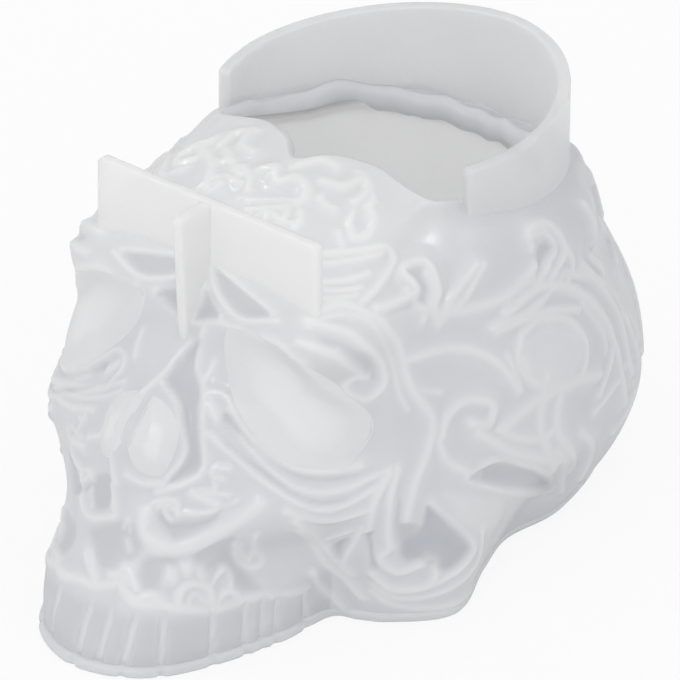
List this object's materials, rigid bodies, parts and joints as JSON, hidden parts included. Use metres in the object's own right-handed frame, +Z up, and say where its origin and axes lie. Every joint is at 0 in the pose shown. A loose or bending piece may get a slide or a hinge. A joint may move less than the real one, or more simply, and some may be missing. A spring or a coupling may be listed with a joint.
{
  "type": "skull casting mould",
  "caption": "Milky silicone mould shaped over an ornate skull, open at the base, with an inner core cup, a collar and a crossed plate to stand on when turned over.",
  "frame": {"origin": "middle of the bounding box, on the table plane under the pour rim", "axes": "+Z up as the mould stands on its pour rim, -Y towards the face, +X towards the skull's own left side"},
  "size_m": [0.1218, 0.193, 0.1106],
  "materials": {
    "thin_silicone": "satin, translucent milky white",
    "thick_silicone": "satin, translucent milky white, whiter where it is thick"
  },
  "bodies": {
    "root": {"pour_rim": "thin_silicone", "tooth_band": "thin_silicone", "face_skin": "thin_silicone", "cranium_skin_left": "thin_silicone", "cranium_skin_right": "thin_silicone", "cranium_skin_rear": "thin_silicone", "crown_lip": "thin_silicone", "core_cup": "thin_silicone", "stand_collar": "thick_silicone", "stand_plate": "thick_silicone", "stand_fin": "thick_silicone", "eye_block_left": "thick_silicone", "nostril_block_left": "thick_silicone", "eye_block_right": "thick_silicone", "nostril_block_right": "thick_silicone"}
  },
  "joints": []
}
